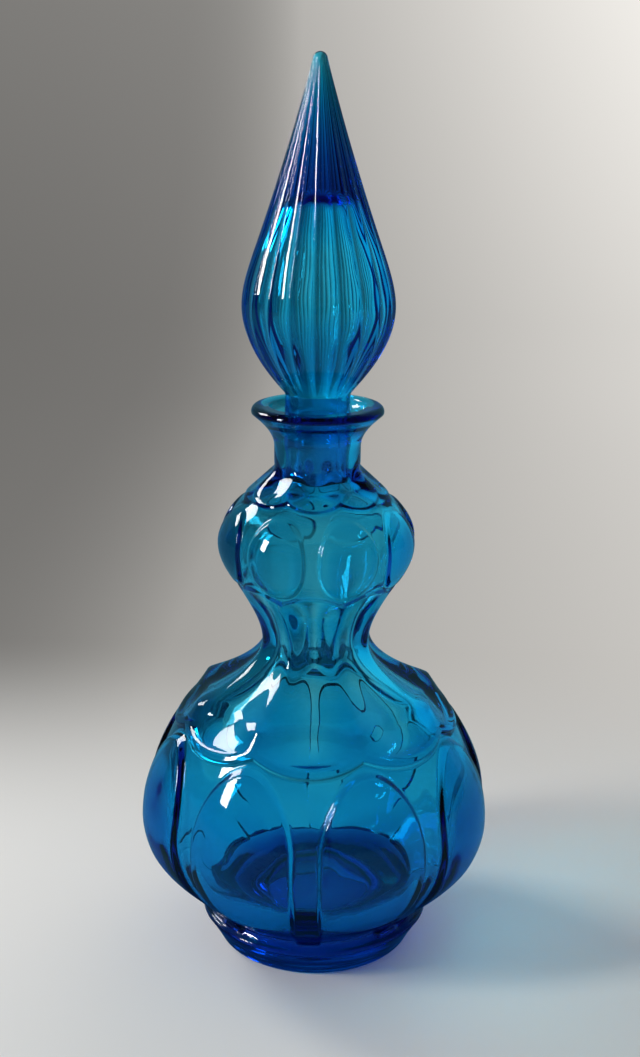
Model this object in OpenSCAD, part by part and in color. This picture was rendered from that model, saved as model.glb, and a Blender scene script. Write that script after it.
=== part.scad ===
// A mould-blown decanter with two panelled bulbs, and the fluted hollow stopper that closes it.
// Millimetres, +Z up. The origin is on the table, on the bottle's axis, and -Y faces a gap between two panels.

/* [Foot] */
// Radius of the ring that the bottle stands on, at the table
foot_rest_r = 34.5; // [32:0.5:36]
// Widest radius of the foot
foot_r = 42.4; // [41:0.2:43.5]
// Height of the foot up to its widest ring
foot_h = 11.5; // [10:0.5:12.5]
// Radius of the rounded lower edge of the foot
foot_edge_r = 2.5; // [1:0.25:3]
// Radius of the hollow pressed into the underside
punt_r = 28; // [24:0.5:30]
// Depth of the hollow pressed into the underside
punt_h = 11; // [8:0.5:12]

/* [Lower bulb] */
// Height from the foot's widest ring to the crease under the bulb
crease_rise = 3; // [2:0.5:4]
// Radius of the crease, on the strips between panels
crease_r = 41.3; // [41:0.1:42]
// Height from the crease to the belly
belly_rise = 37.5; // [34:0.5:41]
// Radius of the lower bulb's frame at its belly, without the panels
belly_r = 62.6; // [60:0.2:65]
// Height from the belly to the shoulder's knuckles
knuckle_rise = 45.6; // [43:0.2:48]
// Radius to the knuckles on the shoulder
knuckle_r = 44.8; // [43.5:0.1:46]

/* [Waist] */
// Height from the knuckles to the narrowest ring of the waist
waist_rise = 20.9; // [19.5:0.1:23]
// Radius over the ridges at the waist
waist_r = 20.3; // [19.6:0.1:22]

/* [Upper bulb] */
// Height from the waist to the middle of the upper bulb
upper_rise = 36.5; // [34:0.5:39]
// Radius of the upper bulb's frame, without the ovals
upper_r = 34.2; // [33:0.2:36]
// Height from the middle of the upper bulb to the foot of the neck
neck_rise = 28; // [27:0.25:30]

/* [Neck and lip] */
// Outer radius of the neck
neck_r = 15.2; // [15:0.1:16.2]
// Height of the straight neck
neck_h = 6; // [4:0.5:9]
// Height from the straight neck to the middle of the lip's edge
flare_h = 12.2; // [10:0.2:15]
// Outer radius of the lip
lip_r = 23.2; // [22:0.2:26]
// Radius of the lip's rounded edge
lip_edge_r = 2.1; // [1.6:0.1:2.5]
// Radius of the dish's upper edge
dish_r = 17.2; // [16.4:0.2:18.4]
// Depth of the dish from the rim to the top of the seat
dish_h = 4.6; // [3.5:0.1:6]

/* [Panels] */
// Number of panels round each bulb
panel_count = 8; // [7:1:9]
// Width of the strip between two lower panels
strip_w = 8; // [6:0.5:10]
// Width of the strip between two ovals
oval_strip_w = 3.6; // [3:0.2:5]
// Depth of the strips below the frame
strip_d = 1.3; // [0.8:0.1:1.6]
// Height of the step round a lower panel
panel_step = 1.8; // [1.2:0.1:2.2]
// Height of the crown of a lower panel above its step
panel_crown = 2; // [1:0.1:2.6]
// Height from the belly to the top of a panel's arch
arch_rise = 35; // [33:0.5:36]
// Height of a panel's arch
arch_h = 27; // [24:0.5:30]
// Height of the step round an oval
oval_step = 1; // [0.6:0.1:1.3]
// Height of the crown of an oval above its step
oval_crown = 1.2; // [0.6:0.1:1.6]
// Half the height of an oval
oval_h = 14.6; // [13:0.2:15]
// Width of the rounded step round the panels
step_w = 2.2; // [1.6:0.1:2.6]

/* [Scoops] */
// Depth of the scoops on the shoulder, below the knuckles
scoop_d = 6; // [4:0.25:6.5]
// Depth of the flutes at the waist, below their ridges
flute_d = 1.7; // [1:0.1:2.2]
// Depth of the small scoops under the neck
neck_scoop_d = 1.8; // [1:0.1:2.2]

/* [Glass] */
// Thickness of the wall at the belly, behind a strip
belly_wall = 3.8; // [3.2:0.1:4.5]
// Thickness of the wall at the waist, behind a flute
waist_wall = 3; // [2.6:0.1:4]
// Thickness of the wall at the upper bulb, behind a strip
upper_wall = 3; // [2.6:0.1:3.6]
// Thickness of the floor above the punt
floor_t = 7; // [5:0.5:8]
// Radius of the inside where the wall rises from the floor
heel_r = 36.5; // [34:0.5:38]

/* [Seat] */
// Radius of the throat at the top of the seat
seat_top_r = 12; // [11.6:0.1:12.4]
// Radius of the throat at the bottom of the seat
seat_low_r = 11; // [10.6:0.1:11.2]
// Length of the ground seat
seat_h = 23.5; // [20:0.5:25]
// Radial clearance between the plug and the throat
seat_gap = 0.3; // [0.2:0.05:0.5]

/* [Stopper] */
// Height of the smooth collar above the top of the seat
collar_h = 10; // [9:0.2:12]
// Radius of the pinch under the flame
pinch_r = 12.4; // [12:0.1:13]
// Height from the pinch to the widest ring of the flame
flame_rise = 28.5; // [26:0.5:32]
// Widest radius of the flame
flame_r = 26.4; // [25:0.2:28]
// Height from the widest ring to where the point begins to run straight
taper_rise = 18; // [16:0.5:20]
// Radius where the point begins to run straight
taper_r = 22.3; // [21:0.1:23.5]
// Height of the straight part of the point
point_h = 62.5; // [55:0.5:68]
// Radius of the blunt tip
tip_r = 2.5; // [2:0.1:3.2]
// Number of flutes round the flame
flute_count = 20; // [16:1:24]
// Depth of the flutes at the flame's widest ring
flame_flute_d = 1.2; // [0.6:0.1:1.4]
// Thickness of the flame's wall
flame_wall = 3; // [2.4:0.1:3.6]
// Radius of the bore up through the plug
plug_bore_r = 7; // [6:0.1:7.6]
// Height of the hollow's top above the flame's widest ring
hollow_rise = 38; // [33:0.5:40]

/* [Hidden] */

// Steps round one half of a panel and one flute, and facets of the turned surfaces
half_steps = 5;
flute_steps = 4;
turned_fn = 96;
curve_steps = 10;
// How far the skin's top ring stands outside the turned neck
skin_lap = 0.12;
// Reach of the foot's spigot into the skin, and how far it stays inside the crease
spigot_h = 2.5;
spigot_in = 2.9;
// Radius of the rounded upper edge of the foot, and the arcs of both edges in degrees from outwards
foot_shoulder_r = 1.4;
edge_arc = [-90, -10];
shoulder_arc = [-10, 70];
// Rings of the punt: share of its radius and share of its depth
punt_rings = [[1, 0], [0.96, 0.35], [0.88, 0.66], [0.73, 0.88], [0.5, 0.98], [0.3, 1], [0, 1]];
// Width and height of the rounded corner between the floor and the wall
heel_w = 4.5;
heel_h = 1.6;

// Heights of the stations, from the table up
z_crease = foot_h + crease_rise;
z_belly = z_crease + belly_rise;
z_knuckle = z_belly + knuckle_rise;
z_waist = z_knuckle + waist_rise;
z_upper = z_waist + upper_rise;
z_neck = z_upper + neck_rise;
z_flare = z_neck + neck_h;
z_lip = z_flare + flare_h;
z_rim = z_lip + lip_edge_r;
z_seat = z_rim - dish_h;
z_seat_low = z_seat - seat_h;
z_pinch = z_seat + collar_h;
z_flame = z_pinch + flame_rise;
z_taper = z_flame + taper_rise;
z_point = z_taper + point_h;

// Angle of half a panel with its half strip
half_a = 180 / panel_count;
// Height of the panel arch's top, and of the line that its frame follows between panels
z_arch = z_belly + arch_rise;
z_spring = z_arch - arch_h;
// Lower end of the shoulder's scoops in a gap, from the knuckles, and how far it rises to the ridges
scoop_reach = 9.4;
scoop_lift = 3.8;
z_scoop = z_knuckle - scoop_reach;
// Width of the framed edge below the scoops, which dips between the panels
frame_w = 3.8;
frame_lift = 4.2;
z_frame = z_scoop - frame_w;
// Upper end of the waist's flutes in a gap, from the upper bulb's middle, and how far it drops to the ridges
flute_stop = 14;
flute_drop = 3.4;
z_flute_top = z_upper - flute_stop;
// Lower end of the small scoops under the neck, from the upper bulb's middle
small_start = 17;
small_lift = 2;
z_small = z_upper + small_start;
// How far the lobes draw in below the strips at the crease, and the height over which they swell
lobe_draw = 1.8;
lobe_swell_h = 26;
// Height over which the step between frame and strip turns, and over which scoops reach full depth
edge_h = 1.5;
scoop_run = 7;
// Depth of the strips between the ovals, and how much deeper the flutes are above the waist
oval_strip_d = 0.6;
flute_growth = 1.3;
// Powers that round the ends of the scoops, the fall from scoop to flute, and the ovals
end_power = 0.6;
fall_power = 1.6;
oval_power = 2.3;
// Where the skin turns into the neck: height below it, extra radius and slope
neck_turn = [2.5, 1.1, -1.1];
// The shoulder inside: height below the knuckles, and wall behind a scoop
inner_knuckle = [0.6, 2.5];

// Stations of an outline: height, radius, slope below and slope above
frame_line = [
    [z_crease, crease_r, 1, 1],
    [z_belly, belly_r, 0, 0],
    [z_knuckle, knuckle_r, -0.65, -2.3],
    [z_waist, waist_r, 0, 0],
    [z_upper, upper_r, 0, 0],
    [z_neck - neck_turn[0], neck_r + neck_turn[1], neck_turn[2], neck_turn[2]],
    [z_neck + 0.5, neck_r + skin_lap, 0, 0]
];
z_floor = punt_h + floor_t;
z_shoulder = z_knuckle - inner_knuckle[0];
cavity_line = [
    [z_floor + heel_h, heel_r, 1.1, 1.1],
    [z_belly, belly_r - strip_d - belly_wall, 0, 0],
    [z_shoulder, knuckle_r - scoop_d - inner_knuckle[1], -1.1, -1.6],
    [z_waist, waist_r - flute_d - waist_wall, 0, 0],
    [z_upper, upper_r - oval_strip_d - upper_wall, 0, 0],
    [z_seat_low, seat_low_r, -2.5, 0]
];
flame_line = [
    [z_pinch, pinch_r, 0.9, 0.9],
    [z_flame, flame_r, 0, 0],
    [z_taper, taper_r, -0.34, -0.36],
    [z_point, tip_r, -0.27, -0.27]
];

// Cubic between two stations
function cubic(t, r0, r1, s0, s1) =
    r0 * (2 * pow(t, 3) - 3 * t * t + 1) + s0 * (pow(t, 3) - 2 * t * t + t)
    + r1 * (3 * t * t - 2 * pow(t, 3)) + s1 * (pow(t, 3) - t * t);

// Radius of an outline at height z
function along(line, z, i = 0) =
    i == len(line) - 2 || z <= line[i + 1][0]
    ? let (a = line[i], b = line[i + 1], h = b[0] - a[0])
      cubic((z - a[0]) / h, a[1], b[1], a[3] * h, b[2] * h)
    : along(line, z, i + 1);

// 0 below 0, 1 above 1, and an even turn between
function ease(x) = let (c = min(max(x, 0), 1)) c * c * (3 - 2 * c);
function clip(x) = min(max(x, 0), 1);

// Share of a panel's half angle that a direction lies from the panel's centre: 0 there, 1 in the gap
function off_centre(a) = let (m = a - 2 * half_a * floor(a / (2 * half_a))) abs(m - half_a) / half_a;

// A lower panel's relief above the strip: u as above, r the strip's radius there
function panel_relief(u, z, r) =
    let (
        pitch = r * half_a * PI / 180,
        w = pitch - strip_w / 2,
        s = u * pitch,
        up = max(z - z_spring, 0) / arch_h,
        q = sqrt(pow(s / w, 2) + up * up),
        swell = sin(90 * clip((z - z_crease) / lobe_swell_h)),
        full = panel_step + panel_crown * (1 - q * q)
    )
    ease((1 - q) * w / step_w) * (swell * (full + lobe_draw) - lobe_draw);

// An oval's relief above its strip
function oval_relief(u, z, r) =
    let (
        pitch = r * half_a * PI / 180,
        w = upper_r * half_a * PI / 180 - oval_strip_w / 2,
        q = pow(pow(u * pitch / w, oval_power) + pow(abs(z - z_upper) / oval_h, oval_power), 1 / oval_power)
    )
    q >= 1 ? 0 : ease((1 - q) * w / step_w) * (oval_step + oval_crown * (1 - q * q));

// Depth of the scoops and flutes below the ridges at height z, in a gap
function scoop_depth(z) =
    z < z_knuckle ? scoop_d
    : z < z_waist ? flute_d + (scoop_d - flute_d) * pow(1 - (z - z_knuckle) / waist_rise, fall_power)
    : flute_d * flute_growth;

// Radius of the moulded skin in direction a at height z
function skin_r(a, z) =
    let (
        u = off_centre(a),
        v = 1 - u,
        frame = along(frame_line, z),
        z_dip = z_frame + frame_lift * v * v,
        z_low = z_scoop + scoop_lift * v * v,
        z_top = z_flute_top - flute_drop * v * v,
        z_neck_scoop = z_small + small_lift * v * v,
        hollow = 1 - v * v
    )
    z < z_low
    ? let (strip = frame - strip_d * (1 - ease((z - z_dip) / edge_h)))
      strip + panel_relief(u, z, strip)
    : z < z_waist
    ? frame - hollow * scoop_depth(z) * pow(clip((z - z_low) / scoop_run), end_power)
    : z < z_top
    ? frame - hollow * scoop_depth(z) * pow(clip((z_top - z) / scoop_run), end_power)
    : z < z_neck_scoop
    ? let (strip = frame - oval_strip_d * ease((z - z_top) / edge_h) * ease((z_neck_scoop - z) / edge_h))
      strip + oval_relief(u, z, strip)
    : frame - hollow * neck_scoop_d * sin(180 * clip((z - z_neck_scoop) / (z_neck - z_neck_scoop)));

// Heights from a to b in n even steps, without b
function steps(a, b, n) = [for (i = [0:n - 1]) a + (b - a) * i / n];

// How far the rings of the skin rise at the ridges, by their height in the gaps, so that they follow its edges
ring_lifts = [
    [z_spring - 8, 0],
    [z_frame, frame_lift],
    [z_scoop, scoop_lift],
    [z_knuckle + 4, 0],
    [z_waist, 0],
    [z_flute_top, -flute_drop],
    [z_upper - 5, 0],
    [z_upper + 6, 0],
    [z_small, small_lift],
    [z_neck, 0]
];
skin_levels = concat(
    steps(z_crease, z_spring, 12),
    steps(z_spring, z_frame, 8),
    [z_frame, z_frame + edge_h, z_scoop - 0.05, z_scoop + 0.6, z_scoop + 1.8],
    steps(z_scoop + 3.4, z_knuckle + 4, 4),
    steps(z_knuckle + 4, z_waist, 4),
    steps(z_waist, z_flute_top - 3, 4),
    [z_flute_top - 1.8, z_flute_top - 0.6, z_flute_top + 0.05],
    steps(z_flute_top + edge_h, z_small - edge_h, 9),
    [z_small - 0.05, z_small + 1, z_small + 2.6],
    steps(z_small + 5, z_neck, 2),
    [z_neck]
);
// Directions, closer together beside the strips
skin_turns = [
    for (p = [0:panel_count - 1], side = [-1, 1], k = [0:half_steps - 1])
        let (g = [0, 0.085, 0.2, 0.45, 0.73], u = side < 0 ? 1 - g[k] : (k == 0 ? 0 : 1 - g[half_steps - k]))
        half_a * (2 * p + 1) + side * u * half_a
];

// Closed skin through rings of points: rings[level][turn]
module skin(rings) {
    n = len(rings[0]);
    m = len(rings);
    low = [0, 0, rings[0][0][2]];
    high = [0, 0, rings[m - 1][0][2]];
    points = concat([for (ring = rings) for (p = ring) p], [low, high]);
    sides = [
        for (i = [0:m - 2], j = [0:n - 1])
            let (k = (j + 1) % n, a = i * n + j, b = i * n + k, c = a + n, d = b + n)
            each [[a, c, b], [b, c, d]]
    ];
    caps = [
        for (j = [0:n - 1])
            let (k = (j + 1) % n)
            each [[m * n, j, k], [m * n + 1, (m - 1) * n + k, (m - 1) * n + j]]
    ];
    polyhedron(points = points, faces = concat(sides, caps), convexity = 10);
}

// Solid turned from the outline, closed along the axis
module turned(outline) {
    rotate_extrude($fn = turned_fn) polygon(outline);
}

// Points of an arc in the outline plane
function arc(r, z, radius, from, to, n = 6) =
    [for (i = [0:n]) let (a = from + (to - from) * i / n) [r + radius * cos(a), z + radius * sin(a)]];

// Points of a stored outline from height a to height b
function outline(line, a, b, n = curve_steps) =
    [for (i = [0:n]) let (z = a + (b - a) * i / n) [along(line, z), z]];

module moulded_skin() {
    skin([
        for (level = skin_levels) [
            for (a = skin_turns)
                let (z = level + lookup(level, ring_lifts) * pow(1 - off_centre(a), 2), r = skin_r(a, z))
                [r * sin(a), -r * cos(a), z]
        ]
    ]);
}

// The foot with its spigot, which reaches up into the skin
module foot() {
    spigot_r = crease_r - spigot_in;
    turned(concat(
        [[0, 0]],
        arc(foot_rest_r, foot_edge_r, foot_edge_r, edge_arc[0], edge_arc[1]),
        arc(foot_r - foot_shoulder_r, foot_h, foot_shoulder_r, shoulder_arc[0], shoulder_arc[1]),
        [[spigot_r, z_crease], [spigot_r, z_crease + spigot_h], [0, z_crease + spigot_h]]
    ));
}

// Straight neck with the flared lip
module neck() {
    flare_line = [[z_flare, neck_r, 0, 0], [z_lip - 1, lip_r - 0.5, 1.25, 1.25]];
    turned(concat(
        [[0, z_neck - spigot_h], [neck_r, z_neck - spigot_h]],
        outline(flare_line, z_flare, z_lip - 1),
        arc(lip_r - lip_edge_r, z_lip, lip_edge_r, -15, 90),
        [[0, z_rim]]
    ));
}

// Everything inside the bottle: chambers, throat, seat and dish
module bottle_hollow() {
    turned(concat(
        [[0, z_floor], [heel_r - heel_w, z_floor]],
        outline(cavity_line, z_floor + heel_h, z_belly),
        outline(cavity_line, z_belly + 5, z_shoulder, 8),
        outline(cavity_line, z_knuckle + 1.5, z_waist, 8),
        outline(cavity_line, z_waist + 4, z_upper, 8),
        outline(cavity_line, z_upper + 2, z_seat_low, 8),
        [for (t = [0:15:90]) [seat_top_r + (dish_r - seat_top_r) * sin(t), z_rim - dish_h * cos(t)]],
        [[dish_r, z_rim + 5], [0, z_rim + 5]]
    ));
}

module punt() {
    turned(concat([[0, -1], [punt_r, -1]], [for (k = punt_rings) [punt_r * k[0], punt_h * k[1]]]));
}

module bottle() {
    color("deepskyblue", 0.8) difference() {
        union() {
            moulded_skin();
            foot();
            neck();
        }
        bottle_hollow();
        punt();
    }
}

// Radius of the fluted flame: crests at the flutes' edges
function flame_at(a, z) =
    let (
        t = a * flute_count / 360,
        w = 2 * (t - floor(t)) - 1,
        fade = min(1, (z - z_pinch + 1) / 8) * pow(along(flame_line, z) / flame_r, 0.8)
    )
    along(flame_line, z) - flame_flute_d * fade * (1 - w * w);

module flame() {
    levels = concat(
        steps(z_pinch, z_flame, 10),
        steps(z_flame, z_taper, 4),
        steps(z_taper, z_point, 8),
        [z_point]
    );
    turns = flute_count * flute_steps;
    skin([
        for (z = levels)
            [for (j = [0:turns - 1]) let (a = 360 * j / turns, r = flame_at(a, z)) [r * sin(a), -r * cos(a), z]]
    ]);
}

// Collar and ground plug, turned, with the clearance to the throat
module plug() {
    low_r = seat_low_r - seat_gap;
    top_r = seat_top_r - seat_gap;
    turned([
        [0, z_seat_low - 0.5], [low_r - 1.2, z_seat_low - 0.5], [low_r - 0.2, z_seat_low],
        [low_r, z_seat_low + 1], [top_r, z_seat], [top_r - 0.3, z_seat + 4],
        [pinch_r - 1, z_pinch - 1.5], [pinch_r - 1, z_pinch + 2], [0, z_pinch + 2]
    ]);
}

// Blunt tip
module tip() {
    translate([0, 0, z_point - 1]) cylinder(r1 = tip_r * 0.9, r2 = tip_r * 0.82, h = 1.8, $fn = turned_fn);
    translate([0, 0, z_point + 0.2]) intersection() {
        sphere(r = tip_r * 0.9, $fn = turned_fn);
        translate([-tip_r, -tip_r, 0]) cube([2 * tip_r, 2 * tip_r, 2 * tip_r]);
    }
}

module stopper_hollow() {
    hollow_r = flame_r - flame_flute_d - flame_wall;
    z_hollow = z_flame + hollow_rise;
    line = [
        [z_pinch - 4, plug_bore_r, 0, 0],
        [z_flame, hollow_r, 0, 0],
        [z_hollow - 5, taper_r * 0.5, -0.5, -0.5]
    ];
    turned(concat(
        [[0, z_seat_low - 3], [plug_bore_r, z_seat_low - 3]],
        outline(line, z_pinch - 4, z_flame, 9),
        outline(line, z_flame + 3, z_hollow - 5, 8),
        [[taper_r * 0.28, z_hollow - 1], [0, z_hollow]]
    ));
}

module stopper() {
    color("dodgerblue", 0.8) difference() {
        union() {
            flame();
            plug();
            tip();
        }
        stopper_hollow();
    }
}

bottle();
stopper();
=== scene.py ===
"""A mould-blown blue glass decanter with its fluted stopper, on a pale sweep in soft window light."""
import logging
import math
from collections.abc import Callable
from dataclasses import dataclass, field
from enum import Enum
from functools import partial

import bpy
import numpy as np
from mathutils import Matrix, Vector, noise


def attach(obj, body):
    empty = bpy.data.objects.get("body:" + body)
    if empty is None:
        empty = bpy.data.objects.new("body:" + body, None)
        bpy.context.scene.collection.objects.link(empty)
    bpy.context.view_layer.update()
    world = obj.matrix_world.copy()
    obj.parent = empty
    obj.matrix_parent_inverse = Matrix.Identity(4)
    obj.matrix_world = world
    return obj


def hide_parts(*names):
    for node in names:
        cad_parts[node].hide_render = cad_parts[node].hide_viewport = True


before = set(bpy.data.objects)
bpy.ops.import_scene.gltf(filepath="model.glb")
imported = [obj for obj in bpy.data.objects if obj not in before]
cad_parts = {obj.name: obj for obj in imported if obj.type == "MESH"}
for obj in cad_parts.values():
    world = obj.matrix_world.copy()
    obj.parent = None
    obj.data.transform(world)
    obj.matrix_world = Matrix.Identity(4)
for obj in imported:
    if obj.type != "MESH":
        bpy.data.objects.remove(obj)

Pair = tuple[float, float]
Colour = tuple[float, float, float]
Socket = bpy.types.NodeSocket
Inputs = dict[str | int, float | tuple[float, ...] | Socket]

log = logging.getLogger("decanter")
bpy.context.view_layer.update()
MM = 0.001


def clip(value: np.ndarray) -> np.ndarray:
    """Limit values to the range from 0 to 1."""
    return np.clip(value, 0.0, 1.0)


def ease(value: np.ndarray) -> np.ndarray:
    """Rise from 0 to 1, level at both ends."""
    held = clip(value)
    return held * held * (3.0 - 2.0 * held)


def ramp(value: np.ndarray) -> np.ndarray:
    """Rise from 0 to 1 with a nearly even slope and barely rounded ends, as a pressed step does."""
    rounding = 0.4
    return (1 - rounding) * clip(value) + rounding * ease(value)


def rows(start: float, stop: float, spacing: float) -> list[float]:
    """Give evenly spaced heights.

    Args:
        start: First height, which is included.
        stop: Last height, which is left out.
        spacing: Wanted distance between heights.

    Returns:
        The heights, in order, up or down.
    """
    count = max(1, round(abs(stop - start) / spacing))
    return [start + (stop - start) * i / count for i in range(count)]


def arc(centre: Pair, size: float, start: float, stop: float, count: int) -> list[Pair]:
    """Give the points of an arc in the outline plane.

    Args:
        centre: Radius and height of the arc's centre.
        size: The arc's own radius.
        start: Angle of the first point, in degrees from outwards towards up.
        stop: Angle of the last point.
        count: Number of steps along the arc.

    Returns:
        Points of radius and height.
    """
    angles = [math.radians(start + (stop - start) * i / count) for i in range(count + 1)]
    return [(centre[0] + size * math.cos(a), centre[1] + size * math.sin(a)) for a in angles]


@dataclass(frozen=True)
class Station:
    """One ring of an outline: its height and radius, and the outline's slope below and above it."""

    height: float
    radius: float
    below: float = 0.0
    above: float = 0.0


@dataclass(frozen=True)
class Outline:
    """A smooth outline that a turned surface follows, in millimetres."""

    stations: tuple[Station, ...]

    def radius(self, height: np.ndarray) -> np.ndarray:
        """Give the outline's radius.

        Args:
            height: Heights above the table.

        Returns:
            The radius at each height, from cubics between the stations.
        """
        height = np.asarray(height, float)
        starts = np.array([s.height for s in self.stations])
        i = np.clip(np.searchsorted(starts, height, side="right") - 1, 0, len(starts) - 2)
        radii = np.array([s.radius for s in self.stations])
        below = np.array([s.below for s in self.stations])
        above = np.array([s.above for s in self.stations])
        span = starts[i + 1] - starts[i]
        t = (height - starts[i]) / span
        return (
            radii[i] * (2 * t**3 - 3 * t**2 + 1)
            + above[i] * span * (t**3 - 2 * t**2 + t)
            + radii[i + 1] * (3 * t**2 - 2 * t**3)
            + below[i + 1] * span * (t**3 - t**2)
        )

    def points(self, heights: list[float]) -> list[Pair]:
        """Give the outline's points of radius and height."""
        return [(float(self.radius(z)), z) for z in heights]


@dataclass(frozen=True)
class Pad:
    """A raised pad of the relief, in millimetres: a rounded step at its edge and a crown over it."""

    reach: float
    step: float
    edge: float
    crown: float
    spread: float = 0.0

    def height(self, inside: np.ndarray) -> np.ndarray:
        """Give the pad's height above the ground around it.

        Args:
            inside: Distance inside the pad's drawn outline, past which its edge lies by the spread.

        Returns:
            Height at each place: the step over the edge's width, and the crown as far in as its reach.
        """
        inside = inside + self.spread
        q = clip(1 - inside / self.reach)
        return ramp(inside / self.edge) * (self.step + self.crown * (1 - q * q))


@dataclass
class Places:
    """Where the vertices or faces of a spun wall lie: direction from -Y, radius and height in millimetres."""

    angle: np.ndarray
    radius: np.ndarray
    height: np.ndarray

    @classmethod
    def read(cls, points: np.ndarray) -> "Places":
        """Read the places from points in metres."""
        x, y, z = np.asarray(points, float).reshape(-1, 3).T / MM
        return cls(np.mod(np.arctan2(x, -y), 2 * math.pi), np.hypot(x, y), z.copy())

    def points(self) -> np.ndarray:
        """Give the points in metres."""
        turned = [self.radius * np.sin(self.angle), -self.radius * np.cos(self.angle), self.height]
        return np.column_stack(turned) * MM


@dataclass(frozen=True)
class Ripple:
    """The slow waviness of blown glass: its waves' length and height, and a shift of the pattern."""

    length: float
    height: float
    shift: float

    def over(self, places: Places) -> np.ndarray:
        """Give the waviness of a surface.

        Args:
            places: Places on the surface.

        Returns:
            Height above the surface's plain form at each place, in millimetres.
        """
        shift = Vector((self.shift, 2 * self.shift, 3 * self.shift))
        scale = 1.0 / (self.length * MM)
        return np.array([noise.noise(Vector(p) * scale + shift) for p in places.points()]) * self.height


class Stretch(Enum):
    """The stretches of a wall's outline, which are shaped in different ways."""

    TURNED = 0
    MOULDED = 1
    INSIDE = 2


@dataclass
class Wall:
    """A closed glass wall that is spun from one outline and then pressed to its relief."""

    name: str
    turns: int
    points: list[Pair] = field(default_factory=list)
    stretches: list[int] = field(default_factory=list)
    piece: bpy.types.Object | None = None
    # Vertices that lie nearer than this, in metres, become one
    merge: float = 1e-7

    def add(self, points: list[Pair], stretch: Stretch) -> None:
        """Lengthen the outline.

        Args:
            points: Points of radius and height, in millimetres.
            stretch: How the surface through these points is shaped.
        """
        self.points += points
        self.stretches += [stretch.value] * len(points)

    def spin(self, closed: bool) -> None:
        """Spin the outline round the axis into a wall.

        Args:
            closed: Whether the outline runs back to its first point instead of from the axis to the axis.
        """
        count = len(self.points)
        mesh = bpy.data.meshes.new(self.name)
        edges = [(i, (i + 1) % count) for i in range(count if closed else count - 1)]
        mesh.from_pydata([(r * MM, 0.0, z * MM) for r, z in self.points], edges, [])
        mesh.attributes.new("stretch", "FLOAT", "POINT").data.foreach_set("value", self.stretches)
        self.piece = bpy.data.objects.new(self.name, mesh)
        bpy.context.scene.collection.objects.link(self.piece)
        bpy.ops.object.select_all(action="DESELECT")
        self.piece.select_set(True)
        bpy.context.view_layer.objects.active = self.piece
        bpy.ops.object.mode_set(mode="EDIT")
        bpy.ops.mesh.select_all(action="SELECT")
        bpy.ops.mesh.spin(steps=self.turns, angle=2 * math.pi, center=(0, 0, 0), axis=(0, 0, 1))
        bpy.ops.mesh.select_all(action="SELECT")
        bpy.ops.mesh.remove_doubles(threshold=self.merge)
        bpy.ops.mesh.normals_make_consistent(inside=False)
        bpy.ops.object.mode_set(mode="OBJECT")

    def vertices(self) -> Places:
        """Find the vertices.

        Returns:
            The place of each vertex.
        """
        flat = np.empty(len(self.piece.data.vertices) * 3)
        self.piece.data.vertices.foreach_get("co", flat)
        return Places.read(flat)

    def on(self, stretch: Stretch) -> np.ndarray:
        """Find a stretch of the outline on the wall.

        Args:
            stretch: The stretch to look for.

        Returns:
            True for each vertex that belongs to it.
        """
        values = np.empty(len(self.piece.data.vertices))
        self.piece.data.attributes["stretch"].data.foreach_get("value", values)
        return np.round(values) == stretch.value

    def refine(self, wanted: Callable[[Places], np.ndarray]) -> None:
        """Split the faces of the moulded skin where the relief is sharp.

        Args:
            wanted: Says for each face's place whether to split it.
        """
        mesh = self.piece.data
        centres = np.empty(len(mesh.polygons) * 3)
        mesh.polygons.foreach_get("center", centres)
        first = np.empty(len(mesh.polygons), int)
        mesh.polygons.foreach_get("loop_start", first)
        corners = np.empty(len(mesh.loops), int)
        mesh.loops.foreach_get("vertex_index", corners)
        chosen = wanted(Places.read(centres)) & self.on(Stretch.MOULDED)[corners[first]]
        bpy.ops.object.mode_set(mode="EDIT")
        bpy.ops.mesh.select_mode(type="FACE")
        bpy.ops.mesh.select_all(action="DESELECT")
        bpy.ops.object.mode_set(mode="OBJECT")
        mesh.polygons.foreach_set("select", chosen)
        bpy.ops.object.mode_set(mode="EDIT")
        bpy.ops.mesh.subdivide(number_cuts=1)
        bpy.ops.object.mode_set(mode="OBJECT")

    def finish(self, places: Places, glass: bpy.types.Material) -> bpy.types.Object:
        """Move the vertices to their places and dress the wall.

        Args:
            places: The vertices' places.
            glass: The wall's finish.

        Returns:
            The finished piece.
        """
        mesh = self.piece.data
        mesh.vertices.foreach_set("co", places.points().ravel())
        mesh.attributes.remove(mesh.attributes["stretch"])
        mesh.polygons.foreach_set("use_smooth", [True] * len(mesh.polygons))
        mesh.materials.append(glass)
        mesh.update()
        return self.piece


class Rays(Enum):
    """Kinds of rays: the path they come by, and whether rays through glass are taken off or joined to it."""

    MIRRORED = ("Is Glossy Ray", "SUBTRACT")
    SEEN = ("Is Camera Ray", "MAXIMUM")


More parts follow.
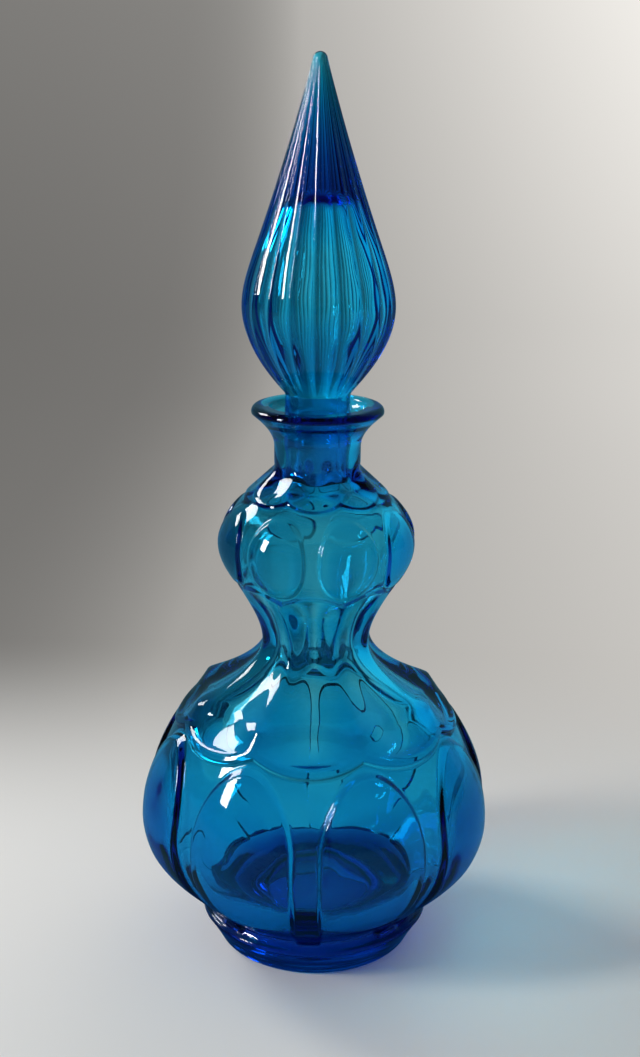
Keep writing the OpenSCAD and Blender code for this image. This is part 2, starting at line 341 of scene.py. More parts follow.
class Graph:
    """The nodes of a material or of the room, with short ways to add and join them."""

    def __init__(self, owner: bpy.types.Material | bpy.types.World) -> None:
        """Turn the owner's nodes on and take hold of them."""
        owner.use_nodes = True
        self.tree = owner.node_tree

    def feed(self, node: bpy.types.Node, inputs: Inputs) -> None:
        """Set or join a node's inputs.

        Args:
            node: The node.
            inputs: What each input gets, by its name or number: a plain value or another node's socket.
        """
        for name, value in inputs.items():
            if isinstance(value, Socket):
                self.tree.links.new(value, node.inputs[name])
            else:
                node.inputs[name].default_value = value

    def add(self, kind: str, inputs: Inputs, **modes: str | bool) -> bpy.types.Node:
        """Add a node.

        Args:
            kind: The node's type, without "ShaderNode" before it.
            inputs: What its inputs get.
            modes: The node's own settings.

        Returns:
            The node.
        """
        node = self.tree.nodes.new("ShaderNode" + kind)
        for name, value in modes.items():
            setattr(node, name, value)
        self.feed(node, inputs)
        return node

    def scale(self, value: Socket, start: float, stop: float, **modes: str) -> Socket:
        """Bring a value to the range from 0 to 1.

        Args:
            value: The value.
            start: Where the result is 0.
            stop: Where the result is 1.
            modes: How it goes from one to the other, if not evenly.

        Returns:
            The result.
        """
        node = self.add("MapRange", {"Value": value, "From Min": start, "From Max": stop}, **modes)
        return node.outputs["Result"]

    def blend(self, amount: Socket, before: Colour | Socket, after: Colour | Socket) -> Socket:
        """Go from one colour to another.

        Args:
            amount: How far to go, from 0 to 1.
            before: The colour at 0.
            after: The colour at 1.

        Returns:
            The blended colour.
        """
        node = self.add("Mix", {"Factor": amount}, data_type="RGBA")
        for name, colour in (("A", before), ("B", after)):
            self.feed(node, {name: colour if isinstance(colour, Socket) else (*colour, 1)})
        return node.outputs["Result"]

    def choose(self, amount: Socket, before: Socket, after: Socket) -> Socket:
        """Go from one shader to another.

        Args:
            amount: How far to go, from 0 to 1.
            before: The shader at 0.
            after: The shader at 1.

        Returns:
            The blended shader.
        """
        return self.add("MixShader", {"Fac": amount, 1: before, 2: after}).outputs["Shader"]

    def is_ray(self, rays: Rays) -> Socket:
        """Tell a kind of rays from the others.

        Args:
            rays: The kind.

        Returns:
            1 for such rays and 0 for the others.
        """
        path = self.add("LightPath", {})
        name, operation = rays.value
        inputs = {0: path.outputs[name], 1: path.outputs["Is Transmission Ray"]}
        return self.add("Math", inputs, operation=operation, use_clamp=True).outputs["Value"]


@dataclass(frozen=True)
class Glass:
    """Clear coloured glass: light loses colour by how far it travels inside."""

    name: str
    density: float
    tint: Colour
    shadow: Colour = (0.74, 0.83, 0.73)
    ior: float = 1.5
    roughness: float = 0.0

    def make(self) -> bpy.types.Material:
        """Build the material.

        Returns:
            A material with a smooth refracting surface and an absorbing body, which throws a coloured shadow.
        """
        material = bpy.data.materials.new(self.name)
        graph = Graph(material)
        graph.tree.nodes.clear()
        surface = graph.add("BsdfPrincipled", {
            "Base Color": (1, 1, 1, 1),
            "Transmission Weight": 1.0,
            "IOR": self.ior,
            "Roughness": self.roughness,
        })
        through = graph.add("BsdfTransparent", {"Color": (*self.shadow, 1)})
        shaded = graph.add("LightPath", {}).outputs["Is Shadow Ray"]
        body = graph.add("VolumeAbsorption", {"Color": (*self.tint, 1), "Density": self.density})
        graph.add("OutputMaterial", {
            "Surface": graph.choose(shaded, surface.outputs["BSDF"], through.outputs["BSDF"]),
            "Volume": body.outputs["Volume"],
        })
        return material


@dataclass
class Decanter:
    """The bottle: foot, panelled lower bulb, scooped shoulder, waist, upper bulb with ovals, neck and lip.

    Sizes are in millimetres. A name ends in _z for a height above the table, in _h for a height of its own,
    in _r for a radius and in _d for a depth.
    """

    panels: int = 8
    # Outside rings
    crease_z: float = 14.5
    crease_r: float = 41.3
    belly_z: float = 52.0
    belly_r: float = 62.6
    knuckle_z: float = 97.6
    knuckle_r: float = 44.8
    waist_z: float = 118.5
    waist_r: float = 20.3
    upper_z: float = 155.0
    upper_r: float = 34.2
    fillet_z: float = 180.5
    fillet_r: float = 16.3
    neck_z: float = 183.0
    neck_r: float = 15.2
    flare_z: float = 189.0
    brim_z: float = 200.2
    brim_r: float = 22.7
    lip_z: float = 201.2
    lip_r: float = 23.2
    lip_edge: float = 2.1
    # Foot, and the hollow under it as shares of its radius and height
    rest_r: float = 34.5
    rest_flat: float = 3.0
    rest_edge: float = 2.5
    foot_r: float = 42.4
    foot_h: float = 11.5
    foot_edge: float = 1.4
    foot_side: tuple[Pair, ...] = ((38.4, 4.6), (39.9, 7.2), (41.2, 9.4))
    punt_r: float = 28.0
    punt_h: float = 11.0
    punt_curve: tuple[Pair, ...] = (
        (0.0, 1.0), (0.2, 1.0), (0.4, 0.99), (0.58, 0.96), (0.73, 0.88),
        (0.84, 0.76), (0.92, 0.55), (0.97, 0.3), (1.0, 0.0),
    )
    # Dish of the lip, whose rings are given in degrees round its edge, and the seat that tapers down from it
    dish_r: float = 17.2
    dish_h: float = 4.6
    dish_turns: tuple[float, ...] = (90, 78, 64, 48, 32, 16)
    seat_top_r: float = 12.0
    seat_low_r: float = 11.0
    seat_h: float = 23.5
    # Gaps between the arched panels and between the ovals
    gap: float = 8.0
    gap_d: float = 1.3
    oval_gap: float = 3.6
    oval_gap_d: float = 0.6
    # Arched panels, whose lower ends are drawn in
    panel: Pad = Pad(reach=20.0, step=1.8, edge=1.4, crown=2.0)
    panel_foot: float = 26.0
    panel_draw: float = 1.8
    arch_z: float = 87.0
    arch_h: float = 27.0
    # Ovals
    oval: Pad = Pad(reach=11.0, step=1.0, edge=1.4, crown=1.2)
    oval_h: float = 14.6
    oval_power: float = 2.3
    # Scalloped edges in the gaps, and how far they rise or drop over the panels
    frame_z: float = 84.4
    frame_lift: float = 4.2
    scoop_z: float = 88.2
    scoop_lift: float = 3.8
    flute_z: float = 141.0
    flute_drop: float = 3.4
    small_z: float = 172.0
    small_lift: float = 2.0
    # Scoops and flutes with rounded ridges between them, and the rims over which they deepen
    scoop_d: float = 6.0
    scoop_thinning: float = 1.6
    flute_d: float = 1.7
    upper_flute_d: float = 2.21
    small_d: float = 1.8
    crest: float = 0.4
    rim: float = 1.3
    rim_run: float = 7.0
    rim_power: float = 0.6
    # Inside, which follows the mould softly
    floor_z: float = 18.0
    floor_rings: tuple[float, ...] = (32.0, 28.0, 24.0, 20.0, 15.0, 10.0, 5.0, 0.0)
    heel_z: float = 19.6
    heel_r: float = 36.5
    heel_curve: tuple[Pair, ...] = ((35.5, 18.7), (33.9, 18.2))
    belly_inside_r: float = 57.5
    knuckle_inside_z: float = 97.0
    knuckle_inside_r: float = 36.3
    waist_inside_r: float = 15.6
    upper_inside_r: float = 30.6
    inside_panel: Pad = Pad(reach=22.0, step=1.8, edge=9.0, crown=2.0, spread=2.0)
    inside_panel_foot: float = 22.0
    inside_oval: Pad = Pad(reach=12.0, step=1.0, edge=5.0, crown=1.2, spread=1.0)
    ridge_z: float = 84.2
    ridge_fade: float = 10.0
    follow: float = 0.35
    # Waviness
    skin_waves: Ripple = Ripple(length=9.0, height=0.06, shift=5.0)
    inside_waves: Ripple = Ripple(length=16.0, height=0.25, shift=3.0)
    # Mesh: columns in half a panel, distances between rows, and heights at which the rows run level
    columns: int = 12
    bulb_rows: float = 1.9
    shoulder_rows: float = 1.8
    flare_rows: float = 1.1
    seat_rows: float = 6.0
    inside_rows: float = 2.0
    over_knuckle_z: float = 101.6
    low_oval_z: float = 150.0
    high_oval_z: float = 161.0
    # Finer mesh: how near an edge the faces are split, and where the rims' slopes lie beside their edges
    edge_reaches: tuple[float, float] = (2.1, 1.0)
    rim_share: float = 0.8
    rim_shift: float = 0.4
    frame_shift: float = 0.7

    def __post_init__(self) -> None:
        """Work out the outlines from the sizes."""
        self.half = math.pi / self.panels
        self.rim_z = self.lip_z + self.lip_edge
        self.seat_z = self.rim_z - self.dish_h
        self.throat_z = self.seat_z - self.seat_h
        self.frame_line = Outline((
            Station(self.crease_z, self.crease_r, above=1.0),
            Station(self.belly_z, self.belly_r),
            Station(self.knuckle_z, self.knuckle_r, below=-0.65, above=-2.3),
            Station(self.waist_z, self.waist_r),
            Station(self.upper_z, self.upper_r),
            Station(self.fillet_z, self.fillet_r, below=-1.1, above=-1.1),
            Station(self.neck_z, self.neck_r),
        ))
        self.flare_line = Outline((
            Station(self.flare_z, self.neck_r),
            Station(self.brim_z, self.brim_r, below=1.25),
        ))
        self.inside_line = Outline((
            Station(self.heel_z, self.heel_r, above=1.1),
            Station(self.belly_z, self.belly_inside_r),
            Station(self.knuckle_inside_z, self.knuckle_inside_r, below=-1.1, above=-1.6),
            Station(self.waist_z, self.waist_inside_r),
            Station(self.upper_z, self.upper_inside_r),
            Station(self.throat_z, self.seat_low_r, below=-2.5),
        ))

    def share(self, angle: np.ndarray) -> np.ndarray:
        """Give the place across a panel: 0 at its centre and 1 in the gap."""
        return np.abs(np.mod(angle, 2 * self.half) - self.half) / self.half

    def lift(self, level: np.ndarray) -> np.ndarray:
        """Give the rise of the mesh's rows, with which they follow the scalloped edges.

        Args:
            level: Heights of the rows in the gaps.

        Returns:
            How far the rows rise over the middle of a panel.
        """
        rises = {
            self.belly_z: 0,
            self.frame_z: self.frame_lift,
            self.scoop_z: self.scoop_lift,
            self.over_knuckle_z: 0,
            self.waist_z: 0,
            self.flute_z: -self.flute_drop,
            self.low_oval_z: 0,
            self.high_oval_z: 0,
            self.small_z: self.small_lift,
            self.neck_z: 0,
        }
        return np.interp(level, list(rises), list(rises.values()))

    def lifted(self, places: Places) -> np.ndarray:
        """Give the heights that the rows of the mesh get, so that they follow the scalloped edges."""
        return places.height + self.lift(places.height) * (1 - self.share(places.angle)) ** 2

    def in_panel(self, share: np.ndarray, z: np.ndarray, ground: np.ndarray) -> np.ndarray:
        """Find the distance inside the edge of an arched panel.

        Args:
            share: Place across the panel, 0 at its centre and 1 in the gap.
            z: Heights.
            ground: Radius of the gaps at those heights.

        Returns:
            Distance in millimetres, negative outside the panel.
        """
        pitch = ground * self.half
        width = pitch - self.gap / 2
        up = np.maximum(z - self.arch_z + self.arch_h, 0) / self.arch_h
        return (1 - np.sqrt((share * pitch / width) ** 2 + up**2)) * width

    def in_oval(self, share: np.ndarray, z: np.ndarray) -> np.ndarray:
        """Find the distance inside the edge of an oval.

        Args:
            share: Place across the oval, 0 at its centre and 1 in the gap.
            z: Heights.

        Returns:
            Distance in millimetres, negative outside the oval.
        """
        pitch = self.upper_r * self.half
        width = pitch - self.oval_gap / 2
        across = np.abs(share * pitch / width) ** self.oval_power
        up = np.abs((z - self.upper_z) / self.oval_h) ** self.oval_power
        return (1 - (across + up) ** (1 / self.oval_power)) * width

    def scoop_depth(self, z: np.ndarray) -> np.ndarray:
        """Give the depth of the scoops and flutes.

        Args:
            z: Heights.

        Returns:
            How far the middle of a scoop or flute lies below the ridges beside it.
        """
        down = clip(1 - (z - self.knuckle_z) / (self.waist_z - self.knuckle_z)) ** self.scoop_thinning
        on_shoulder = self.flute_d + (self.scoop_d - self.flute_d) * down
        under_waist = np.where(z < self.knuckle_z, self.scoop_d, on_shoulder)
        return np.where(z < self.waist_z, under_waist, self.upper_flute_d)

    def hollow(self, share: np.ndarray) -> np.ndarray:
        """Give the cross-section of a scoop: 0 on the rounded ridges and 1 in its middle."""
        rounded = (np.hypot(share, self.crest) - self.crest) / (math.hypot(1, self.crest) - self.crest)
        return 1 - (1 - rounded) ** 2

    def lower_bulb(self, share: np.ndarray, z: np.ndarray, dip: np.ndarray) -> np.ndarray:
        """Shape the lower bulb with its arched panels.

        Args:
            share: Place across a panel, 0 at its centre and 1 in the gap.
            z: Heights.
            dip: Height up to which the gaps lie back.

        Returns:
            Radius in millimetres.
        """
        ground = self.frame_line.radius(z) - self.gap_d * (1 - ease((z - dip) / self.rim))
        rise = np.sin(math.pi / 2 * clip((z - self.crease_z) / self.panel_foot))
        inside = self.in_panel(share, z, ground)
        draw = self.panel_draw * ramp(inside / self.panel.edge)
        return ground + rise * (self.panel.height(inside) + draw) - draw

    def skin_radius(self, angle: np.ndarray, z: np.ndarray) -> np.ndarray:
        """Shape the moulded skin.

        Args:
            angle: Directions in radians from -Y, which faces a gap between panels.
            z: Heights.

        Returns:
            Radius in millimetres.
        """
        share = self.share(angle)
        base = self.frame_line.radius(z)
        over_panel = (1 - share) ** 2
        dip = self.frame_z + self.frame_lift * over_panel
        low = self.scoop_z + self.scoop_lift * over_panel
        top = self.flute_z - self.flute_drop * over_panel
        small = self.small_z + self.small_lift * over_panel
        hollow = self.hollow(share)
        scoop = hollow * self.scoop_depth(z)
        shoulder = base - scoop * clip((z - low) / self.rim_run) ** self.rim_power
        flutes = base - scoop * clip((top - z) / self.rim_run) ** self.rim_power
        ground = base - self.oval_gap_d * ease((z - top) / self.rim) * ease((small - z) / self.rim)
        ovals = ground + self.oval.height(self.in_oval(share, z))
        small_scoops = hollow * self.small_d * np.sin(math.pi * clip((z - small) / (self.neck_z - small)))
        return np.select(
            [z < low, z < self.waist_z, z < top, z < small],
            [self.lower_bulb(share, z, dip), shoulder, flutes, ovals],
            base - small_scoops,
        )

    def inside_radius(self, angle: np.ndarray, z: np.ndarray) -> np.ndarray:
        """Shape the blown inside, which follows the mould softly.

        Args:
            angle: Directions in radians from -Y, which faces a gap between panels.
            z: Heights.

        Returns:
            Radius in millimetres.
        """
        share = self.share(angle)
        panel = self.inside_panel.height(self.in_panel(share, z, self.frame_line.radius(z)))
        panel *= np.sin(math.pi / 2 * clip((z - self.floor_z) / self.inside_panel_foot))
        oval = self.inside_oval.height(self.in_oval(share, z))
        ridge = (1 - self.hollow(share)) * (self.scoop_depth(z) - self.flute_d)
        ridge *= ease((z - self.ridge_z) / self.ridge_fade) * ease((self.waist_z - z) / self.ridge_fade)
        relief = np.maximum(panel, 0) + np.maximum(oval, 0) + ridge
        return self.inside_line.radius(z) + self.follow * relief

    def near_edges(self, places: Places, reach: float) -> np.ndarray:
        """Find the sharp edges of the relief.

        Args:
            places: Places on the skin, before it is pressed.
            reach: How far from the middle of an edge still counts, in millimetres.

        Returns:
            True near the steps of panels and ovals, the rims of the scoops and the ridges.
        """
        share = self.share(places.angle)
        level = places.height
        z = self.lifted(places)
        ground = self.frame_line.radius(z)
        panel = np.abs(self.in_panel(share, z, ground) - self.panel.edge / 2) < reach
        panel &= level < self.frame_z
        oval = np.abs(self.in_oval(share, z) - self.oval.edge / 2) < reach
        oval &= (level > self.flute_z) & (level < self.small_z)
        near = self.rim_share * reach
        rims = (
            self.frame_z + self.frame_shift,
            self.scoop_z + self.rim_shift,
            self.flute_z - self.rim_shift,
            self.small_z + self.rim_shift,
        )
        rim = np.any([np.abs(level - r) < near for r in rims], axis=0)
        ridge = share * ground * self.half < near
        ridge &= (level > self.scoop_z) & (level < self.flute_z)
        return panel | oval | rim | ridge

    def foot_points(self) -> list[Pair]:
        """Draw the foot.

        Returns:
            The outline from the middle of the hollow underneath out to the crease over the foot.
        """
        points = [(self.punt_r * r, self.punt_h * z) for r, z in self.punt_curve]
        points += [(self.rest_r - self.rest_flat, 0.0)]
        points += arc((self.rest_r, self.rest_edge), self.rest_edge, start=-90, stop=-20, count=6)
        points += self.foot_side
        roll = (self.foot_r - self.foot_edge, self.foot_h)
        return points + arc(roll, self.foot_edge, start=-20, stop=75, count=5)

    def lip_points(self) -> list[Pair]:
        """Draw the neck and lip.

        Returns:
            The outline up the neck, round the lip, through its dish and down the seat of the stopper.
        """
        points = [(self.neck_r, self.neck_z), (self.neck_r, (self.neck_z + self.flare_z) / 2)]
        points += self.flare_line.points(rows(self.flare_z, self.brim_z, self.flare_rows))
        points += arc((self.lip_r - self.lip_edge, self.lip_z), self.lip_edge, start=-15, stop=90, count=8)
        dish = self.dish_r - self.seat_top_r
        points += [
            (self.seat_top_r + dish * math.sin(t), self.rim_z - self.dish_h * math.cos(t))
            for t in np.radians(self.dish_turns)
        ]
        slope = (self.seat_top_r - self.seat_low_r) / self.seat_h
        seat = rows(self.seat_z, self.throat_z, self.seat_rows)
        return points + [(self.seat_top_r - (self.seat_z - z) * slope, z) for z in seat]

    def wall(self) -> Wall:
        """Draw the whole wall.

        Returns:
            The wall, drawn from the hollow underneath, round the outside and down the inside.
        """
        wall = Wall("bottle_glass", 2 * self.panels * self.columns)
        wall.add(self.foot_points(), Stretch.TURNED)
        bulb = rows(self.crease_z, self.scoop_z, self.bulb_rows)
        shoulder = rows(self.scoop_z, self.neck_z, self.shoulder_rows)
        wall.add(self.frame_line.points(bulb + shoulder), Stretch.MOULDED)
        wall.add(self.lip_points(), Stretch.TURNED)
        wall.add(self.inside_line.points(rows(self.throat_z, self.heel_z, self.inside_rows)), Stretch.INSIDE)
        wall.add(list(self.heel_curve), Stretch.TURNED)
        wall.add([(r, self.floor_z) for r in self.floor_rings], Stretch.TURNED)
        return wall

    def build(self, glass: bpy.types.Material) -> bpy.types.Object:
        """Make the bottle.

        Args:
            glass: The bottle's finish.

        Returns:
            The finished piece.
        """
        wall = self.wall()
        wall.spin(closed=False)
        for reach in self.edge_reaches:
            wall.refine(partial(self.near_edges, reach=reach))
        places = wall.vertices()
        skin = wall.on(Stretch.MOULDED)
        inside = wall.on(Stretch.INSIDE)
        places.height[skin] = self.lifted(places)[skin]
        pressed = self.skin_radius(places.angle, places.height) + self.skin_waves.over(places)
        places.radius[skin] = pressed[skin]
        blown = self.inside_radius(places.angle, places.height) + self.inside_waves.over(places)
        places.radius[inside] = blown[inside]
        piece = wall.finish(places, glass)
        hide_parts("bottle")
        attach(piece, "bottle")
        return piece


@dataclass
class Stopper:
    """The stopper: a solid point on a hollow fluted flame, a smooth collar and a ground plug.

    Sizes are in millimetres, and names end as the decanter's do.
    """

    # Plug, whose edge is given in steps in and up from its lower ring, and collar
    bore_r: float = 7.0
    plug_edge: tuple[Pair, ...] = ((1.2, -0.5), (0.2, 0.0), (0.0, 1.0))
    plug_z: float = 175.2
    plug_low_r: float = 10.7
    plug_top_r: float = 11.7
    seat_z: float = 198.7
    collar: tuple[Pair, ...] = ((11.4, 202.7), (11.4, 207.2))
    # Flame and point
    flame_low_z: float = 207.9
    pinch_z: float = 208.7
    pinch_r: float = 12.4
    flame_z: float = 237.2
    flame_r: float = 26.4
    taper_z: float = 255.2
    taper_r: float = 22.3
    point_z: float = 317.7
    tip_r: float = 2.5
    # Flutes, which fade out towards the pinch and the point
    flutes: int = 20
    flute_d: float = 1.2
    flute_start_z: float = 207.7
    flute_fade: float = 8.0
    flute_power: float = 0.8
    # Hollow: the bore's top, and under the hollow's top a cap, a dome and a shoulder
    bore_top_z: float = 204.7
    flame_wall: float = 3.0
    hollow_rise: float = 38.0
    cap_r: float = 3.122
    cap_h: float = 0.3
    dome_r: float = 6.244
    dome_h: float = 1.0
    shoulder_r: float = 11.15
    shoulder_h: float = 5.0
    # Waviness, which dies away near the axis
    waves: Ripple = Ripple(length=9.0, height=0.55, shift=7.0)
    still_r: float = 3.0
    # Mesh: columns in a flute and distances between rows
    columns: int = 12
    plug_rows: float = 4.0
    flame_rows: float = 1.4
    point_rows: float = 1.8
    hollow_rows: float = 1.6
    bore_rows: float = 7.0

    def __post_init__(self) -> None:
        """Work out the outlines from the sizes."""
        self.low_z = self.plug_z + self.plug_edge[0][1]
        self.hollow_z = self.flame_z + self.hollow_rise
        self.flame_line = Outline((
            Station(self.pinch_z, self.pinch_r, above=0.9),
            Station(self.flame_z, self.flame_r),
            Station(self.taper_z, self.taper_r, below=-0.34, above=-0.36),
            Station(self.point_z, self.tip_r, below=-0.27),
        ))
        self.hollow_line = Outline((
            Station(self.bore_top_z, self.bore_r),
            Station(self.flame_z, self.flame_r - self.flute_d - self.flame_wall),
            Station(self.hollow_z - self.shoulder_h, self.shoulder_r, below=-0.5, above=-0.5),
            Station(self.hollow_z - self.dome_h, self.dome_r, below=-2.0),
        ))

    def plug_points(self) -> list[Pair]:
        """Draw the plug and collar.

        Returns:
            The outline from the bore's lower end, round the plug's edge and up to the flame.
        """
        points = [(self.bore_r, self.low_z)]
        points += [(self.plug_low_r - r, self.plug_z + z) for r, z in self.plug_edge]
        slope = (self.plug_top_r - self.plug_low_r) / (self.seat_z - self.plug_z)
        plug = rows(self.plug_z + self.plug_rows, self.seat_z, self.plug_rows)
        points += [(self.plug_low_r + (z - self.plug_z) * slope, z) for z in plug]
        return points + [(self.plug_top_r, self.seat_z), *self.collar]

    def hollow_points(self) -> list[Pair]:
        """Draw the hollow.

        Returns:
            The outline from the top of the hollow, down the flame and through the plug's bore.
        """
        points = [(0.0, self.hollow_z), (self.cap_r, self.hollow_z - self.cap_h)]
        flame = rows(self.hollow_z - self.dome_h, self.bore_top_z, self.hollow_rows)
        points += self.hollow_line.points(flame)
        return points + [(self.bore_r, z) for z in rows(self.bore_top_z, self.low_z, self.bore_rows)]

    def wall(self) -> Wall:
        """Draw the whole wall.

        Returns:
            The wall, drawn from the plug's lower end, up the outside to the tip and down the inside.
        """
        wall = Wall("stopper_glass", self.flutes * self.columns)
        wall.add(self.plug_points(), Stretch.TURNED)
        flame = rows(self.flame_low_z, self.flame_z, self.flame_rows)
        point = rows(self.flame_z, self.point_z, self.point_rows)
        wall.add(self.flame_line.points(flame + point), Stretch.MOULDED)
        wall.add(arc((0.0, self.point_z), self.tip_r, start=5, stop=90, count=5), Stretch.TURNED)
        wall.add(self.hollow_points(), Stretch.INSIDE)
        return wall

    def fluted(self, places: Places) -> np.ndarray:
        """Shape the fluted flame: thin crests between round flutes.

        Args:
            places: Places on the wall, before it is pressed.

        Returns:
            Radius in millimetres.
        """
        across = np.mod(places.angle * self.flutes / (2 * math.pi), 1.0) * 2 - 1
        fade = np.minimum(1, (places.height - self.flute_start_z) / self.flute_fade)
        fade = fade * clip(self.flame_line.radius(places.height) / self.flame_r) ** self.flute_power
        return places.radius - self.flute_d * fade * (1 - across**2)

    def build(self, glass: bpy.types.Material) -> bpy.types.Object:
        """Make the stopper.

        Args:
            glass: The stopper's finish.

        Returns:
            The finished piece.
        """
        wall = self.wall()
        wall.spin(closed=True)
        places = wall.vertices()
        skin = wall.on(Stretch.MOULDED)
        inside = wall.on(Stretch.INSIDE)
        places.radius[skin] = self.fluted(places)[skin]
        places.radius[inside] += (self.waves.over(places) * clip(places.radius / self.still_r))[inside]
        piece = wall.finish(places, glass)
        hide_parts("stopper")
        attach(piece, "stopper")
        return piece


@dataclass(frozen=True)
class Pane:
    """A pane of window light: where it hangs round the decanter in degrees, its width, height and glow."""

    azimuth: float
    lift: float
    width: float
    height: float
    glow: float

    def direction(self) -> Vector:
        """Find the pane from the decanter.

        Returns:
            Direction of length 1 from the decanter towards the pane.
        """
        turn = math.radians(self.azimuth)
        lift = math.radians(self.lift)
        return Vector((math.sin(turn) * math.cos(lift), -math.cos(turn) * math.cos(lift), math.sin(lift)))


@dataclass
class Studio:
    """The pale sweep, the window light and the camera of the photograph, in metres."""

    # Camera, whose pitch and roll are in radians
    camera_azimuth: float = math.radians(2.8)
    camera_distance: float = 0.500
    camera_height: float = 0.307
    camera_aside: float = 0.0011
    pitch: float = 0.289
    roll: float = 0.0079
    focal_px: float = 1464.0
    image_height: int = 1057
    sensor: float = 36.0
    clip_start: float = 0.01
    # Window, and the height that its panes face
    panes: tuple[Pane, ...] = (
        Pane(azimuth=-118, lift=33, width=0.35, height=0.42, glow=12.0),
        Pane(azimuth=-68, lift=25, width=0.2, height=0.45, glow=28.0),
    )
    window_distance: float = 1.2
    window_aim: float = 0.1
    # Even light of the room: on the table, mirrored in the glass, and seen straight or through the glass
    room_light: Colour = (0.27, 0.285, 0.3)
    mirrored_room: Colour = (0.03, 0.035, 0.04)
    pale_room: Colour = (0.46, 0.45, 0.435)
    # Sweep, whose bend goes up in steps of some degrees
    sweep_front: float = 3.0
    sweep_depth: float = 1.0
    sweep_width: float = 6.0
    sweep_rise: float = 3.0
    sweep_bend: float = 0.5
    sweep_step: int = 6
    # Floor, and the painted reflection that the glass mirrors instead of it: a painted contact shadow beside
    # its foot, the distances over which that fades, and a fixed painted haze further out
    floor_colour: Colour = (0.80, 0.79, 0.765)
    floor_roughness: float = 0.7
    floor_gloss: float = 0.2
    painted_contact_shadow: Colour = (0.005, 0.04, 0.13)
    painted_floor_reflection: Colour = (0.07, 0.19, 0.26)
    painted_shadow_reach: Pair = (0.048, 0.1)
    # Backdrop: its painted light and shade, darker on the left and lighter on the right, how far behind it
    # comes and how its painted glow brightens upwards
    painted_light_tones: tuple[Pair, ...] = (
        (-0.6, 0.15), (-0.25, 0.17), (-0.1, 0.24), (0.05, 0.39), (0.2, 0.52), (0.4, 0.8), (0.6, 1.0),
    )
    tone_span: float = 0.6
    warmth: Colour = (1.03, 1.0, 0.95)
    backdrop_start: Pair = (0.03, 0.3)
    painted_glow_height: Pair = (0.05, 0.45)
    painted_glow_top: float = 1.3

    def camera(self) -> bpy.types.Object:
        """Set the camera up at the photograph's viewing angle.

        Returns:
            The camera.
        """
        data = bpy.data.cameras.new("camera")
        data.sensor_fit = "AUTO"
        data.sensor_width = self.sensor
        data.lens = self.focal_px * self.sensor / self.image_height
        data.clip_start = self.clip_start
        camera = bpy.data.objects.new("camera", data)
        bpy.context.scene.collection.objects.link(camera)
        turn = Matrix.Rotation(self.camera_azimuth, 4, "Z")
        place = turn @ Vector((self.camera_aside, -self.camera_distance, self.camera_height))
        aim = turn @ Matrix.Rotation(math.pi / 2 - self.pitch, 4, "X") @ Matrix.Rotation(self.roll, 4, "Z")
        camera.matrix_world = Matrix.Translation(place) @ aim
        bpy.context.scene.camera = camera
        return camera

    def backdrop(self, graph: Graph, x: Socket, z: Socket) -> Socket:
        """Make the backdrop's glow of painted light and shade.

        Args:
            graph: The sweep's nodes.
            x: Place from left to right.
            z: Height.

        Returns:
            A shader that is graded from side to side and brightens upwards.
        """
        # Painted light and shade: the glow is graded from dark on the left to bright on the right
        tone = graph.add("ValToRGB", {"Fac": graph.scale(x, -self.tone_span, self.tone_span)})
        tone.color_ramp.interpolation = "B_SPLINE"
        stops = tone.color_ramp.elements
        stops.remove(stops[1])
        for i, (place, level) in enumerate(self.painted_light_tones):
            stop = stops[0] if i == 0 else stops.new(0.5)
            stop.position = 0.5 + place / (2 * self.tone_span)
            stop.color = (*(level * part for part in self.warmth), 1)
        # Painted light: the glow brightens upwards
        painted_upward = graph.add("MapRange", {
            "Value": z,
            "From Min": self.painted_glow_height[0],
            "From Max": self.painted_glow_height[1],
            "To Min": 1.0,
            "To Max": self.painted_glow_top,
        })
        painted_shine = graph.add("Emission", {"Color": tone.outputs["Color"], "Strength": painted_upward.outputs["Result"]})
        return painted_shine.outputs["Emission"]

    def board(self) -> bpy.types.Material:
        """Make the sweep's finish: a matt pale floor that turns into a backdrop that glows with painted light
        and shade.

        Returns:
            A material that takes shadows in front and glows with painted light and shade behind. Where the
            glass mirrors it, it shows a
            painted reflection: a painted contact shadow near the foot that fades to a fixed haze further out.
        """
        material = bpy.data.materials.new("pale_board")
        graph = Graph(material)
        floor = graph.tree.nodes["Principled BSDF"]
        graph.feed(floor, {
            "Base Color": (*self.floor_colour, 1),
            "Roughness": self.floor_roughness,
            "Specular IOR Level": self.floor_gloss,
        })
        place = graph.add("TexCoord", {}).outputs["Object"]
        split = graph.add("SeparateXYZ", {"Vector": place})
        backdrop = self.backdrop(graph, split.outputs["X"], split.outputs["Z"])
        behind = graph.scale(split.outputs["Y"], *self.backdrop_start, interpolation_type="SMOOTHSTEP")
        pale = graph.choose(behind, floor.outputs["BSDF"], backdrop)
        # Painted reflection: rays mirrored by the glass see a glowing colour instead of the lit floor, with a
        # painted contact shadow near the foot
        apart = graph.add("VectorMath", {0: place}, operation="LENGTH").outputs["Value"]
        away = graph.scale(apart, *self.painted_shadow_reach)
        painted_reflection = graph.add("Emission", {"Color": graph.blend(away, self.painted_contact_shadow, self.painted_floor_reflection)})
        surface = graph.choose(graph.is_ray(Rays.MIRRORED), pale, painted_reflection.outputs["Emission"])
        graph.feed(graph.tree.nodes["Material Output"], {"Surface": surface})
        return material

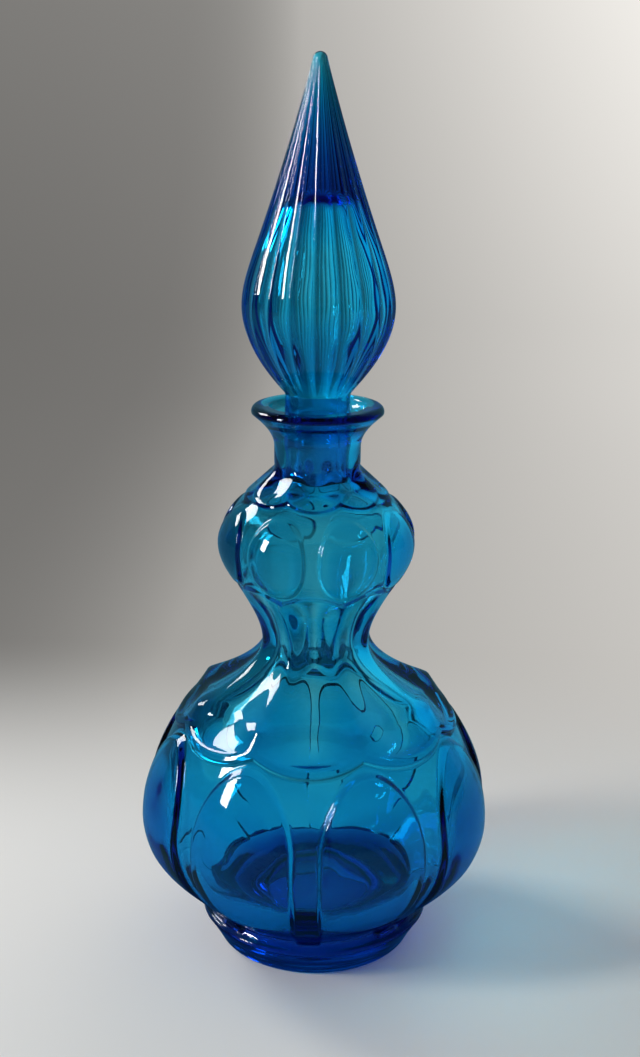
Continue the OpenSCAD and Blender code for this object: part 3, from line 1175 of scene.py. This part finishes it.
    def sweep(self) -> bpy.types.Object:
        """Lay the floor, which curves up into the backdrop.

        Returns:
            The sweep.
        """
        mesh = bpy.data.meshes.new("sweep")
        depth = self.sweep_depth
        bend = self.sweep_bend
        turns = np.radians(range(self.sweep_step, 90 + self.sweep_step, self.sweep_step))
        line = [(-self.sweep_front, 0.0), (0.0, 0.0), (depth, 0.0)]
        line += [(depth + bend * math.sin(a), bend - bend * math.cos(a)) for a in turns]
        line += [(depth + bend, self.sweep_rise)]
        sides = (-self.sweep_width / 2, self.sweep_width / 2)
        points = [(x, y, z) for y, z in line for x in sides]
        faces = [(2 * i, 2 * i + 1, 2 * i + 3, 2 * i + 2) for i in range(len(line) - 1)]
        mesh.from_pydata(points, [], faces)
        sweep = bpy.data.objects.new("sweep", mesh)
        bpy.context.scene.collection.objects.link(sweep)
        mesh.polygons.foreach_set("use_smooth", [True] * len(faces))
        mesh.materials.append(self.board())
        return sweep

    def window(self) -> None:
        """Hang the panes of the window on the left, each facing the decanter."""
        for i, pane in enumerate(self.panes):
            data = bpy.data.lights.new(f"window_{i}", "AREA")
            data.shape = "RECTANGLE"
            data.size = pane.width
            data.size_y = pane.height
            data.energy = math.pi * pane.width * pane.height * pane.glow
            lamp = bpy.data.objects.new(f"window_{i}", data)
            bpy.context.scene.collection.objects.link(lamp)
            ray = pane.direction()
            lamp.location = Vector((0, 0, self.window_aim)) + ray * self.window_distance
            lamp.rotation_euler = ray.to_track_quat("Z", "Y").to_euler()
            lamp.visible_camera = False

    def room(self) -> None:
        """Fill the room with even light: pale where it is looked at or through, dim where it is mirrored."""
        world = bpy.data.worlds.new("room")
        graph = Graph(world)
        around = graph.blend(graph.is_ray(Rays.MIRRORED), self.room_light, self.mirrored_room)
        light = graph.blend(graph.is_ray(Rays.SEEN), around, self.pale_room)
        graph.feed(graph.tree.nodes["Background"], {"Color": light})
        bpy.context.scene.world = world


def main() -> None:
    """Build the pieces in order, dress them and set up the studio."""
    logging.basicConfig(level=logging.INFO, format="%(message)s")
    scene = bpy.context.scene
    scene.view_settings.view_transform = "Standard"
    scene.cycles.max_bounces = 24
    scene.cycles.glossy_bounces = 16
    scene.cycles.transmission_bounces = 24
    studio = Studio()
    studio.camera()
    studio.sweep()
    studio.window()
    studio.room()
    blue = Glass(name="blue_glass", density=620.0, tint=(0.0, 0.818, 0.938))
    for piece in (Decanter().build(blue.make()), Stopper().build(blue.make())):
        log.info("%s: %d faces", piece.name, len(piece.data.polygons))


if __name__ == "__main__":
    main()
